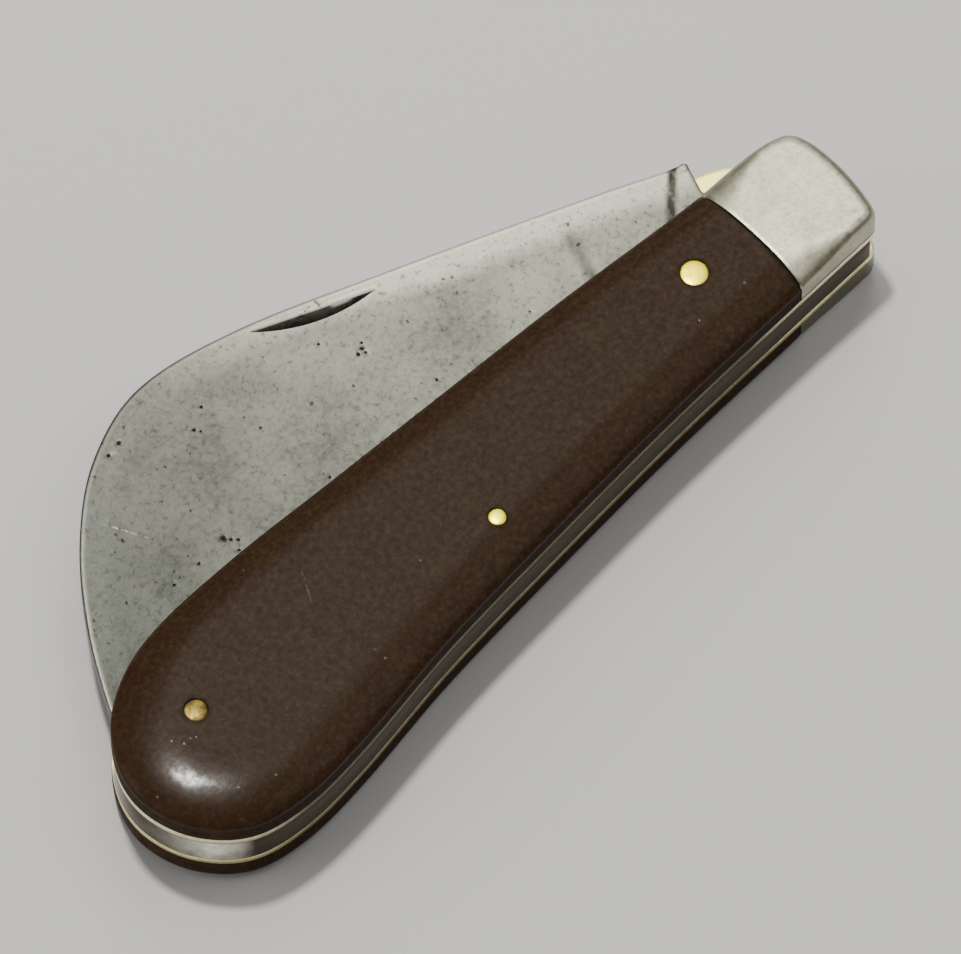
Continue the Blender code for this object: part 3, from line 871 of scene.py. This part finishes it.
    def wear(self, color, roughness, heights):
        """Feeds the shader. Heights are pairs: a pattern and its depth in millimetres."""
        self.feed(self.shader.inputs["Base Color"], color)
        self.feed(self.shader.inputs["Roughness"], roughness)
        normal = None
        for height, depth in heights:
            made = self.node("ShaderNodeBump")
            made.inputs["Distance"].default_value = depth * MM
            self.feed(made.inputs["Height"], height)
            if normal:
                self.feed(made.inputs["Normal"], normal)
            normal = made.outputs["Normal"]
        self.feed(self.shader.inputs["Normal"], normal)
        return self.material


# How far above or below the middle a cover's side and its top are, for their colours and the painted
# shade down the sides
SIDE_RISE = 4.6
TOP_RISE = 6.5
SPECK_PITCH = 1.7
# Where a painted sheen lightens the covers' sides round the butt
BUTT_SHEEN_X = (-42, -48)


def cover_finish():
    """Dark red-brown composition: browner and duller on top, redder down the sides with painted shade
    darkening them, and a painted sheen on the sides round the butt.
    """
    f = Finish("cover_composition", 0.0, 0.06)
    f.shader.inputs["Coat Roughness"].default_value = 0.11
    broad = f.noise(15.0, 2.0, 0.5)
    mottle = f.noise(2.2, 6.0, 0.66, bend=0.5)
    fine = f.noise(0.55, 4.0, 0.7)
    grain = f.noise(0.2, 4.0, 0.6)
    rise = f.math("ABSOLUTE", f.math("SUBTRACT", f.axis("Z"), MIDDLE_Z * MM))
    height = f.ranged(rise, SIDE_RISE * MM, TOP_RISE * MM)
    # Painted shade: the sides get a darker, redder base than the top
    base = f.mixed(height, linear(43, 27, 17), linear(54, 39, 23))
    tone = f.math("ADD", f.times(broad, 0.5), f.times(mottle, 0.5))
    base = f.mixed(f.ranged(tone, 0.36, 0.66, 0.0, 0.6), base, linear(52, 32, 24))
    olive = f.times(f.ranged(mottle, 0.5, 0.34), f.times(height, 0.4))
    base = f.mixed(olive, base, linear(62, 52, 31))
    base = f.mixed(f.ranged(fine, 0.5, 0.76, 0.0, 0.6), base, linear(82, 62, 46))
    base = f.mixed(f.ranged(fine, 0.48, 0.28, 0.0, 0.6), base, linear(30, 19, 13))
    away, value = f.cells(SPECK_PITCH)
    speck = f.times(f.ranged(away, 0.05, 0.11, 1.0, 0.0), f.ranged(value, 0.92, 0.96))
    base = f.stained(base, speck, 0.6, linear(150, 134, 118))
    nicks = f.spots(COVER_NICKS, 0.4)
    base = f.stained(base, nicks, 0.75, linear(168, 150, 138))
    first = f.streaks(-28, 7.0, 0.06, 0.71, 0.80)
    second = f.streaks(36, 5.0, 0.05, 0.73, 0.82, (0.1, 0, 0))
    lines = f.times(f.math("MAXIMUM", first, second), f.ranged(f.noise(6.0, 2.0), 0.5, 0.62))
    base = f.stained(base, lines, 0.35, linear(104, 88, 76))
    scuff = f.times(f.scratch(*COVER_SCRATCH, 0.14), f.ranged(fine, 0.45, 0.6))
    base = f.stained(base, scuff, 0.5, linear(128, 108, 96))
    # Painted sheen: the sides round the butt are lightened in mottled patches
    start, end = BUTT_SHEEN_X
    butt = f.ranged(f.axis("X"), start * MM, end * MM, 0.0, 0.7)
    butt = f.times(butt, f.math("SUBTRACT", 1.0, height))
    base = f.mixed(f.times(butt, f.ranged(mottle, 0.35, 0.6)), base, linear(78, 58, 42))
    seam = f.ranged(f.stored("seam"), 0.0, 0.5, 0.8, 0.0)
    base = f.mixed(seam, base, linear(20, 14, 10))
    rough = f.ranged(mottle, 0.3, 0.7, 0.22, 0.31)
    rough = f.math("ADD", rough, f.times(lines, 0.12))
    rough = f.math("ADD", rough, f.ranged(height, 0.0, 0.4, 0.4, 0.0))
    coat = f.times(f.ranged(f.noise(0.7, 4.0), 0.4, 0.62, 0.04, 0.16), height)
    f.feed(f.shader.inputs["Coat Weight"], coat)
    heights = [
        (grain, 0.003),
        (fine, 0.007),
        (f.noise(1.3, 3.0), 0.014),
        (f.math("SUBTRACT", 1.0, lines), 0.006),
    ]
    return f.wear(base, rough, heights)


# Painted shade darkens the blade away from the tang, and the spine is rubbed bright only near it
TANG_SHADE_X = (-34, 32)
RUBBED_SPINE_X = (-18, 12)
PEPPER_PITCH = 0.75


def blade_finish():
    """Old carbon steel: grey patina with pits and fine scratches, worn brighter at the spine, with
    painted shade away from the tang and in the nick, shoulder hollow and plunge line, and a painted
    glint in the nick.
    """
    f = Finish("blade_carbon_steel", 1.0)
    broad = f.noise(9.0, 3.0, 0.5)
    mottle = f.noise(1.5, 7.0, 0.7, bend=0.7)
    fine = f.noise(0.6, 6.0, 0.74, bend=0.3)
    grain = f.noise(0.16, 4.0, 0.65)
    tone = f.math("ADD", f.times(broad, 0.4), f.times(mottle, 0.6))
    # Painted shade: both blade tones get darker away from the tang
    toward_tang = f.ranged(f.axis("X"), *(x * MM for x in TANG_SHADE_X))
    rubbed = f.ranged(f.axis("X"), *(x * MM for x in RUBBED_SPINE_X))
    dark = f.mixed(toward_tang, linear(54, 56, 51), linear(98, 99, 89))
    light = f.mixed(toward_tang, linear(94, 96, 90), linear(146, 147, 135))
    base = f.mixed(f.ranged(tone, 0.36, 0.64), dark, light)
    uneven = f.ranged(tone, 0.3, 0.7, -0.08, 0.08)
    from_spine = f.math("ADD", f.stored("from_spine"), uneven)
    strip = f.ranged(from_spine, 0.20, 0.40, 1.0, 0.0)
    polished = f.mixed(rubbed, linear(80, 82, 76), linear(174, 173, 158))
    base = f.stained(base, strip, 0.75, polished)
    base = f.mixed(f.ranged(fine, 0.52, 0.72, 0.0, 0.65), base, light)
    base = f.mixed(f.ranged(fine, 0.47, 0.30, 0.0, 0.8), base, linear(46, 47, 41))
    rim = f.ranged(f.stored("from_spine"), 0.03, 0.07, 1.0, 0.0)
    rim_tone = f.mixed(rubbed, linear(112, 113, 106), linear(206, 205, 192))
    base = f.stained(base, rim, 0.65, rim_tone)
    away, value = f.cells(PEPPER_PITCH, 0.9)
    patches = f.ranged(f.noise(4.0, 3.0), 0.42, 0.60)
    size = f.times(f.ranged(value, 0.72, 1.0, 0.0, 0.30), patches)
    pepper = f.ranged(f.math("SUBTRACT", away, size), -0.10, 0.06, 1.0, 0.0)
    pepper = f.times(pepper, f.ranged(value, 0.7, 1.0, 0.25, 0.6))
    rusted = f.spots([(x, y, radius) for x, y, radius, _ in BLADE_PITS], 0.8)
    pit = f.math("MAXIMUM", pepper, rusted)
    base = f.stained(base, pit, 0.85, linear(40, 38, 33))
    scuff = f.times(f.scratch(*BLADE_SCRATCH, 0.12), f.ranged(fine, 0.4, 0.6))
    base = f.stained(base, scuff, 0.5, linear(184, 184, 172))
    first = f.streaks(-24, 6.0, 0.035, 0.66, 0.82)
    second = f.streaks(48, 4.0, 0.035, 0.68, 0.82, (0.2, 0, 0))
    third = f.streaks(-71, 5.0, 0.035, 0.70, 0.84, (0.3, 0, 0))
    lines = f.math("MAXIMUM", first, f.math("MAXIMUM", second, third))
    base = f.stained(base, lines, 0.3, linear(196, 196, 186))
    # Painted shade: the nail nick, the hollow beside the tang and the plunge line are painted dark
    nick = f.ranged(f.stored("nick"), 0.02, 0.07)
    shoulder = f.ranged(f.stored("shoulder"), 0.1, 0.7, 0.0, 0.95)
    plunge = f.times(f.stored("plunge"), 0.75)
    painted_shade = f.math("MAXIMUM", nick, f.math("MAXIMUM", shoulder, plunge))
    painted_shade = f.times(painted_shade, f.ranged(mottle, 0.3, 0.6, 1.0, 0.88))
    # Painted glint: a short line in the nick is kept clear of the painted shade
    painted_shade = f.math("SUBTRACT", painted_shade, f.times(f.scratch(*NICK_GLINT, 0.3), 0.9))
    base = f.mixed(painted_shade, base, linear(24, 24, 20))
    rough = f.ranged(mottle, 0.3, 0.7, 0.42, 0.52)
    rough = f.math("SUBTRACT", rough, f.times(strip, 0.08))
    rough = f.math("ADD", rough, f.times(pit, 0.3))
    heights = [
        (grain, 0.003),
        (fine, 0.006),
        (mottle, 0.010),
        (f.math("SUBTRACT", 1.0, pit), 0.04),
        (f.math("SUBTRACT", 1.0, lines), 0.004),
    ]
    return f.wear(base, rough, heights)


BOLSTER_SPOTS = [(44.8, -4.4, 0.34), (44.4, -5.5, 0.28), (42.4, -5.8, 0.4)]


def bolster_finish():
    """Satin nickel silver: wear lines, grey spots, a dark seam at the liner, painted shade on the
    side walls, most of all below the middle.
    """
    f = Finish("bolster_satin", 1.0)
    broad = f.noise(5.0, 3.0, 0.55)
    mottle = f.noise(1.5, 6.0, 0.66)
    fine = f.noise(0.45, 5.0, 0.7)
    grain = f.noise(0.15, 4.0, 0.6)
    tone = f.math("ADD", f.times(broad, 0.4), f.times(mottle, 0.6))
    base = f.mixed(f.ranged(tone, 0.36, 0.64), linear(164, 163, 142), linear(192, 191, 169))
    base = f.mixed(f.ranged(fine, 0.5, 0.30, 0.0, 0.55), base, linear(132, 130, 118))
    base = f.mixed(f.ranged(fine, 0.54, 0.78, 0.0, 0.4), base, linear(214, 212, 199))
    dull = f.spots(BOLSTER_SPOTS)
    base = f.stained(base, dull, 0.5, linear(96, 94, 86))
    lines = f.math("MAXIMUM", f.streaks(8, 5.0, 0.04, 0.60, 0.8), f.streaks(52, 4.0, 0.04, 0.66, 0.8))
    base = f.stained(base, lines, 0.25, linear(232, 230, 220))
    # Painted shade: the side walls are darkened, most of all on the lower bolster
    under = f.ranged(f.axis("Z"), (MIDDLE_Z - 1) * MM, (MIDDLE_Z + 1) * MM, 1.0, 0.15)
    side = f.times(f.ranged(f.stored("inset"), 0.0, 0.08, 0.85, 0.0), under)
    base = f.mixed(side, base, f.mixed(mottle, linear(62, 56, 44), linear(112, 106, 92)))
    above_liner = f.math("SUBTRACT", f.axis("Z"), span_z("top_bolster")[0] * MM)
    above_liner = f.math("ABSOLUTE", above_liner)
    seam = f.ranged(above_liner, 0.24 * MM, 0.46 * MM, 0.95, 0.0)
    base = f.mixed(seam, base, linear(20, 18, 14))
    rough = f.ranged(mottle, 0.3, 0.7, 0.32, 0.42)
    heights = [
        (grain, 0.003),
        (fine, 0.005),
        (f.noise(1.1, 3.0), 0.010),
        (f.math("SUBTRACT", 1.0, lines), 0.005),
    ]
    return f.wear(base, rough, heights)


# The stretch of the back where a hand's grip has tarnished the liners
TARNISH_X = -4
TARNISH_HALF = 34
TARNISH_REACH = 45


def brass_finish(name, bright, dull, low, high, tarnish=0.0, stain=(0, 0, 0, 1)):
    """Brass, duller where it isn't rubbed. Tarnish stains the middle of a long piece."""
    f = Finish(name, 1.0)
    from_middle = f.math("ABSOLUTE", f.math("ADD", f.axis("X"), -TARNISH_X * MM))
    held = f.ranged(from_middle, TARNISH_HALF * MM, TARNISH_REACH * MM, tarnish, 0.0)
    mottle = f.noise(0.9, 5.0, 0.6)
    grain = f.noise(0.15, 4.0, 0.6)
    base = f.mixed(f.ranged(mottle, low, high), bright, dull)
    base = f.mixed(f.ranged(grain, 0.55, 0.8, 0.0, 0.3), base, dull)
    base = f.mixed(held, base, stain)
    rough = f.ranged(mottle, 0.3, 0.7, 0.24, 0.42)
    heights = [(grain, 0.004), (f.streaks(20, 2.0, 0.05, 0.5, 0.8), 0.004)]
    return f.wear(base, rough, heights)


# Where the butt of the spring is rubbed bright
RUBBED_X = -50.5


def spring_finish():
    """Spring steel: browned along the back, rubbed bright round the butt."""
    f = Finish("spring_steel_aged", 1.0)
    mottle = f.noise(1.4, 6.0, 0.65)
    butt = f.math("SUBTRACT", f.axis("X"), (RUBBED_X + OFFSET_X) * MM)
    butt = f.ranged(f.math("ABSOLUTE", butt), 0.4 * MM, 3.2 * MM, 1.0, 0.0)
    rubbed = f.times(butt, f.ranged(mottle, 0.3, 0.6, 0.6, 1.0))
    base = f.mixed(f.ranged(mottle, 0.35, 0.65), linear(46, 39, 25), linear(74, 64, 44))
    base = f.mixed(rubbed, base, linear(255, 252, 240))
    rough = f.ranged(mottle, 0.3, 0.7, 0.34, 0.5)
    layers = f.streaks(0, 12.0, 0.08, 0.45, 0.75)
    heights = [(f.noise(0.25, 4.0), 0.005), (layers, 0.005)]
    return f.wear(base, rough, heights)


# ---- the knife


COVER = cover_finish()
BOLSTER = bolster_finish()
BLADE = blade_finish()
SPRING = spring_finish()
TOP_LINER = brass_finish(
    "liner_brass_tarnished",
    linear(255, 250, 216), linear(214, 202, 160), 0.42, 0.74, 0.93, linear(66, 58, 40),
)
LINER = brass_finish(
    "liner_brass_aged",
    linear(255, 246, 186), linear(214, 198, 132), 0.42, 0.74, 0.78, linear(92, 80, 50),
)
PIN = brass_finish("pin_brass_filed", linear(255, 236, 44), linear(226, 198, 44), 0.5, 0.8)
DULL_PIN = brass_finish("pin_brass_dulled", linear(122, 105, 52), linear(78, 66, 34), 0.36, 0.62)
LEAF = brass_finish("leaf_brass_rubbed", linear(255, 250, 150), linear(250, 238, 134), 0.5, 0.8)

PIN_SIZES = {
    "pivot_pin": (PIVOT, PIVOT_RADIUS),
    "center_pin": (CENTER_PIN, 0.95),
    "butt_pin": (BUTT_PIN, 1.25),
    "top_cover_pin": (COVER_PIN, 1.45),
    "bottom_cover_pin": (COVER_PIN, 1.45),
}
BORED_FOR = ("center_pin", "butt_pin", "top_cover_pin")
COVER_BORES = [(PIN_SIZES[node][0], PIN_SIZES[node][1] + PIN_CLEARANCE) for node in BORED_FOR]


def from_seam(flat):
    """How far a point of a cover is from the nearest place where grime gathers."""
    pins = [np.linalg.norm(flat - np.array(c), axis=1) - r for c, r in COVER_BORES]
    return np.minimum.reduce(pins + [np.abs(joint_x(flat[:, 1]) - flat[:, 0])])


def add_handle_shells():
    """Both covers and both bolsters."""
    for end, base_index in (("top", 0), ("bottom", 1)):
        for kind, side, slot, finish in (
            ("cover", -1, "cover", COVER),
            ("bolster", 1, "bolster_steel", BOLSTER),
        ):
            node = f"{end}_{kind}"
            levels = span_z(node)
            shell = domed(node + "_shell", side, levels[base_index], levels[1 - base_index])
            if kind == "cover":
                bored(shell, COVER_BORES)
                mark(shell, "seam", from_seam)
            mark(shell, "inset", lambda flat: distance_to(flat, OUTLINE, True))
            stand_for(shell, node, "handle", finish)


def bottom_liner_outline():
    """The handle's outline with a pocket in its front, which the lock leaf fills."""
    back_y = LEAF_BACK_Y - LEAF_SLIT
    end_x = LEAF_END_X + LEAF_SLIT
    start = crossing(FRONT_EDGE, end_x)
    end = crossing(FRONT_EDGE, LEAF_ROOT_X)
    kept_first = [p for p in FRONT_EDGE if p.x > end_x + 0.1]
    kept_last = [p for p in FRONT_EDGE if p.x < LEAF_ROOT_X - 0.1]
    pocket = [start, Vector((end_x, back_y)), Vector((LEAF_ROOT_X, back_y)), end]
    inner = []
    for a, b in zip(pocket, pocket[1:]):
        inner += spaced([a, b], 1.2)[:-1]
    return kept_first + inner + [end] + kept_last + BACK_EDGE[1:-1]


def add_sheet(name, node, outline, body, finish, ease=PLATE_EASE):
    """A flat part, between its CAD node's two levels."""
    low, high = span_z(node)
    stand_for(plate(name, outline, low, high, ease), node, body, finish)


PIN_FINISHES = {"pivot_pin": BOLSTER, "butt_pin": DULL_PIN}


def add_pins():
    """Pins with filed heads. The pivot's ends stay under the bolsters' faces."""
    for node, (centre, radius) in PIN_SIZES.items():
        low, high = span_z(node)
        if node == "pivot_pin":
            low += PIVOT_SUNK
            high -= PIVOT_SUNK
        made = pin(node + "_filed", centre, radius, low, high, PIN_CROWN)
        stand_for(made, node, "handle", PIN_FINISHES.get(node, PIN))


add_handle_shells()
add_sheet("top_liner_sheet", "top_liner", OUTLINE, "handle", TOP_LINER)
add_sheet(
    "bottom_liner_sheet", "bottom_liner", bottom_liner_outline(), "handle", LINER
)
add_sheet("lock_leaf_sheet", "lock_leaf", leaf_outline(), "lock", LEAF, LEAF_EASE)
add_sheet(
    "backspring_bar", "backspring", spring_outline(), "handle", SPRING, SPRING_EASE
)
add_pins()
stand_for(blade(), "blade", "blade", BLADE)


# ---- studio


BACK = Vector((-0.3055, -0.3143, 0.8988)).normalized()
CAMERA_DISTANCE = 2.5
CAMERA_LENS = 916.0
# The place at the picture's middle: x and y in the drawing, and its height
AIM_X = -2.6
AIM_Y = 1.9
AIM_Z = 9.5
WARM = (1.0, 0.975, 0.925)
SKY = (1.0, 0.98, 0.95, 1)
SKY_STRENGTH = 0.22
PAPER = (0.80, 0.80, 0.80, 1)
FLOOR_HALF = 4.0


def add_camera():
    data = bpy.data.cameras.new("camera")
    data.sensor_width = 36.0
    data.lens = CAMERA_LENS
    camera = bpy.data.objects.new("camera", data)
    aim = Vector(((AIM_X + OFFSET_X) * MM, (AIM_Y + OFFSET_Y) * MM, AIM_Z * MM))
    camera.location = aim + BACK * CAMERA_DISTANCE
    camera.rotation_mode = "QUATERNION"
    camera.rotation_quaternion = (-BACK).to_track_quat("-Z", "Y")
    bpy.context.scene.collection.objects.link(camera)
    bpy.context.scene.camera = camera


def add_light(name, place, size, radiance):
    """A square soft light at that place in metres, facing the knife, with that brightness."""
    data = bpy.data.lights.new(name, "AREA")
    data.size = size
    data.energy = radiance * math.pi * size**2
    data.color = WARM
    light = bpy.data.objects.new(name, data)
    light.location = place
    light.rotation_mode = "QUATERNION"
    light.rotation_quaternion = Vector(place).to_track_quat("Z", "Y")
    light.visible_camera = False
    bpy.context.scene.collection.objects.link(light)


def add_floor():
    bm = bmesh.new()
    bmesh.ops.create_grid(bm, x_segments=1, y_segments=1, size=FLOOR_HALF)
    mesh = bpy.data.meshes.new("floor")
    bm.to_mesh(mesh)
    bm.free()
    floor = bpy.data.objects.new("floor", mesh)
    bpy.context.scene.collection.objects.link(floor)
    paint = bpy.data.materials.new("floor_paper")
    paint.use_nodes = True
    shader = paint.node_tree.nodes["Principled BSDF"]
    shader.inputs["Base Color"].default_value = PAPER
    shader.inputs["Roughness"].default_value = 0.9
    mesh.materials.append(paint)


def add_world():
    world = bpy.data.worlds.new("studio")
    world.use_nodes = True
    background = world.node_tree.nodes["Background"]
    background.inputs["Color"].default_value = SKY
    background.inputs["Strength"].default_value = SKY_STRENGTH
    bpy.context.scene.world = world


add_camera()
add_world()
add_floor()
add_light("key", (0.07, 0.26, 1.05), 0.08, 360.0)
add_light("far_panel", (0.30, 0.27, 0.62), 0.30, 2.1)
add_light("horizon_panel", (0.52, 0.54, 0.32), 0.45, 1.2)
add_light("low_panel", (0.42, -0.30, 0.95), 0.6, 1.15)
add_light("left_panel", (-0.9, 0.6, 0.7), 0.7, 1.4)
